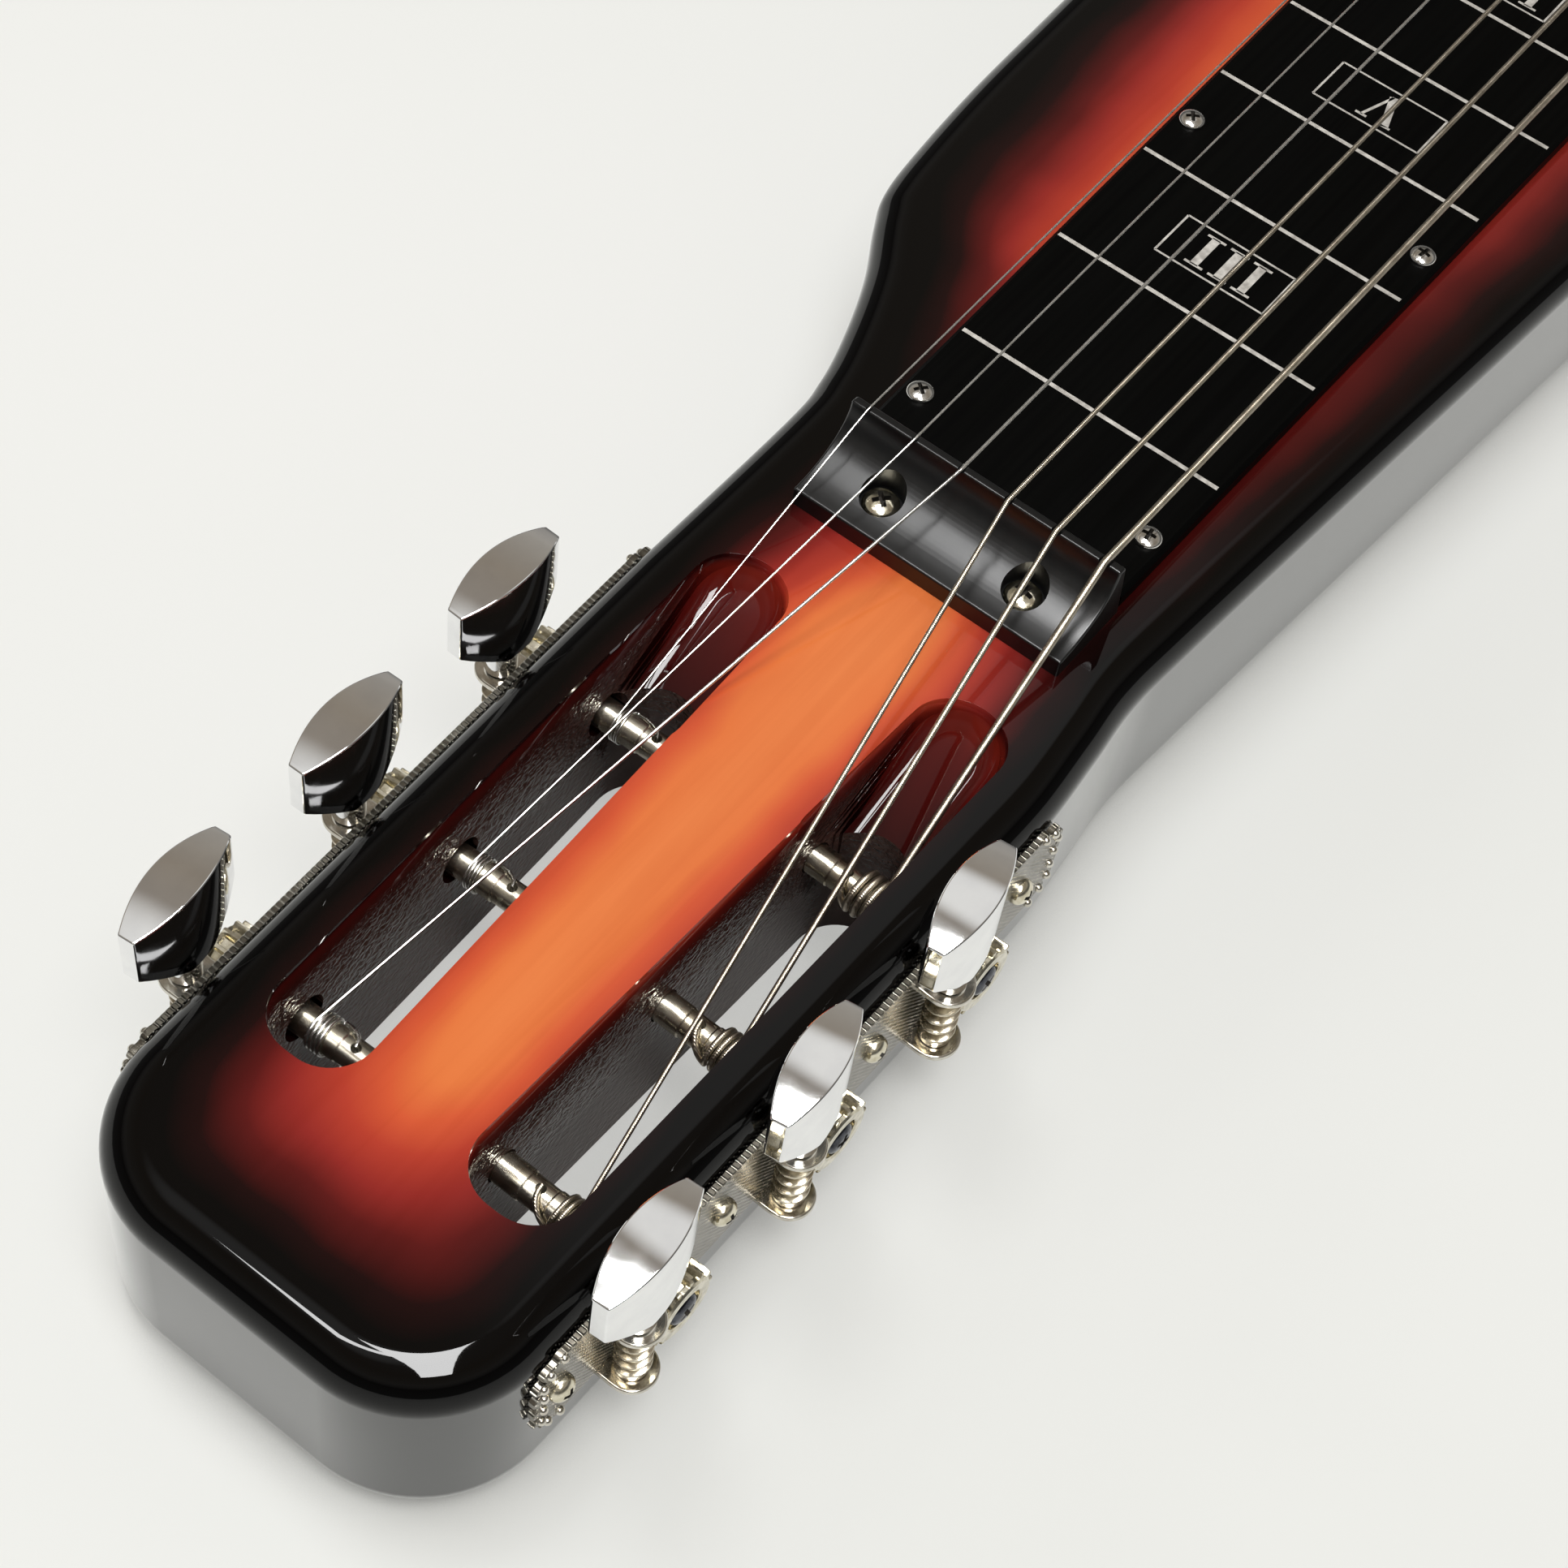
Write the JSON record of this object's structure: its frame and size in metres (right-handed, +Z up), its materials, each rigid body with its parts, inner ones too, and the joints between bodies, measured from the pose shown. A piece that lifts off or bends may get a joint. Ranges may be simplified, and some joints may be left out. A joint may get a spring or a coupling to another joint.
{
  "type": "lap steel guitar",
  "caption": "Solid-body electric lap steel guitar with a slotted head, worm-geared tuners, flat marked board, raised nut, steel bridge, covered pickup and turning controls",
  "frame": {"origin": "middle of the flat back: the centre of the bounding box's lower face", "axes": "+X from the head towards the tail along the strings, +Y towards the thin strings, +Z up out of the deck"},
  "size_m": [0.808, 0.168, 0.0619],
  "materials": {
    "lacquered_wood": "gloss lacquer, sunburst from orange through red to black",
    "black_plastic": "satin black moulding",
    "nickel": "nickel-plated steel",
    "chrome": "polished plating",
    "string_steel": "drawn steel wire, the thick ones wound with nickel wire",
    "coil_copper": "enamelled copper wire",
    "cloth_wire": "braided cloth sleeve"
  },
  "bodies": {
    "guitar": {"body": "lacquered_wood", "fretboard": "black_plastic", "nut": "black_plastic", "nut_screw_thin_side": "nickel", "nut_screw_thick_side": "nickel", "tuner_plate_thin_side": "nickel", "tuner_plate_thick_side": "nickel", "string_1": "string_steel", "string_2": "string_steel", "string_3": "string_steel", "string_4": "string_steel", "string_5": "string_steel", "string_6": "string_steel", "bridge_plate": "chrome", "saddle": "chrome", "pickup_cover": "chrome", "pickup_coil": "coil_copper", "pickup_magnet": "nickel", "control_plate": "chrome", "volume_pot": "nickel", "tone_pot": "nickel", "output_jack": "nickel", "tone_capacitor": "coil_copper", "pickup_lead": "cloth_wire", "jack_lead": "cloth_wire"},
    "tone_control": {"tone_knob": "chrome", "tone_shaft": "nickel"},
    "tuner_key_1": {"tuner_button_1": "chrome", "worm_1": "nickel"},
    "tuner_key_2": {"tuner_button_2": "chrome", "worm_2": "nickel"},
    "tuner_key_3": {"tuner_button_3": "chrome", "worm_3": "nickel"},
    "tuner_key_4": {"tuner_button_4": "chrome", "worm_4": "nickel"},
    "tuner_key_5": {"tuner_button_5": "chrome", "worm_5": "nickel"},
    "tuner_key_6": {"tuner_button_6": "chrome", "worm_6": "nickel"},
    "tuner_post_1": {"string_post_1": "nickel", "gear_1": "nickel", "gear_screw_1": "nickel"},
    "tuner_post_2": {"string_post_2": "nickel", "gear_2": "nickel", "gear_screw_2": "nickel"},
    "tuner_post_3": {"string_post_3": "nickel", "gear_3": "nickel", "gear_screw_3": "nickel"},
    "tuner_post_4": {"string_post_4": "nickel", "gear_4": "nickel", "gear_screw_4": "nickel"},
    "tuner_post_5": {"string_post_5": "nickel", "gear_5": "nickel", "gear_screw_5": "nickel"},
    "tuner_post_6": {"string_post_6": "nickel", "gear_6": "nickel", "gear_screw_6": "nickel"},
    "volume_control": {"volume_knob": "chrome", "volume_shaft": "nickel"}
  },
  "joints": [
    {"name": "key_turn_1", "type": "hinge", "parent": "guitar", "child": "tuner_key_1", "pos_m": [-0.2927, 0.04521, 0.0257], "axis": [0, 0, 1], "continuous": true},
    {"name": "post_turn_1", "type": "hinge", "parent": "guitar", "child": "tuner_post_1", "pos_m": [-0.2839, 0.04539, 0.0257], "axis": [-0.0196, 0.9998, 0], "continuous": true},
    {"name": "key_turn_2", "type": "hinge", "parent": "guitar", "child": "tuner_key_2", "pos_m": [-0.32989, 0.04448, 0.0257], "axis": [0, 0, 1], "continuous": true},
    {"name": "post_turn_2", "type": "hinge", "parent": "guitar", "child": "tuner_post_2", "pos_m": [-0.3211, 0.04466, 0.0257], "axis": [-0.0196, 0.9998, 0], "continuous": true},
    {"name": "key_turn_3", "type": "hinge", "parent": "guitar", "child": "tuner_key_3", "pos_m": [-0.36709, 0.04375, 0.0257], "axis": [0, 0, 1], "continuous": true},
    {"name": "post_turn_3", "type": "hinge", "parent": "guitar", "child": "tuner_post_3", "pos_m": [-0.35829, 0.04393, 0.0257], "axis": [-0.0196, 0.9998, 0], "continuous": true},
    {"name": "key_turn_4", "type": "hinge", "parent": "guitar", "child": "tuner_key_4", "pos_m": [-0.36709, -0.04375, 0.0257], "axis": [0, 0, 1], "continuous": true},
    {"name": "post_turn_4", "type": "hinge", "parent": "guitar", "child": "tuner_post_4", "pos_m": [-0.35829, -0.04393, 0.0257], "axis": [0.0196, 0.9998, 0], "continuous": true},
    {"name": "key_turn_5", "type": "hinge", "parent": "guitar", "child": "tuner_key_5", "pos_m": [-0.32989, -0.04448, 0.0257], "axis": [0, 0, 1], "continuous": true},
    {"name": "post_turn_5", "type": "hinge", "parent": "guitar", "child": "tuner_post_5", "pos_m": [-0.3211, -0.04466, 0.0257], "axis": [0.0196, 0.9998, 0], "continuous": true},
    {"name": "key_turn_6", "type": "hinge", "parent": "guitar", "child": "tuner_key_6", "pos_m": [-0.2927, -0.04521, 0.0257], "axis": [0, 0, 1], "continuous": true},
    {"name": "post_turn_6", "type": "hinge", "parent": "guitar", "child": "tuner_post_6", "pos_m": [-0.2839, -0.04539, 0.0257], "axis": [0.0196, 0.9998, 0], "continuous": true},
    {"name": "volume_turn", "type": "hinge", "parent": "guitar", "child": "volume_control", "pos_m": [0.2335, -0.05898, 0.053], "axis": [0, 0, 1], "range_deg": [-150, 150]},
    {"name": "tone_turn", "type": "hinge", "parent": "guitar", "child": "tone_control", "pos_m": [0.2715, -0.05898, 0.053], "axis": [0, 0, 1], "range_deg": [-150, 150]}
  ],
  "couplings": [
    {"joint": "post_turn_1", "follows": "key_turn_1", "ratio": -0.071429},
    {"joint": "post_turn_2", "follows": "key_turn_2", "ratio": -0.071429},
    {"joint": "post_turn_3", "follows": "key_turn_3", "ratio": -0.071429},
    {"joint": "post_turn_4", "follows": "key_turn_4", "ratio": -0.071429},
    {"joint": "post_turn_5", "follows": "key_turn_5", "ratio": -0.071429},
    {"joint": "post_turn_6", "follows": "key_turn_6", "ratio": -0.071429}
  ]
}
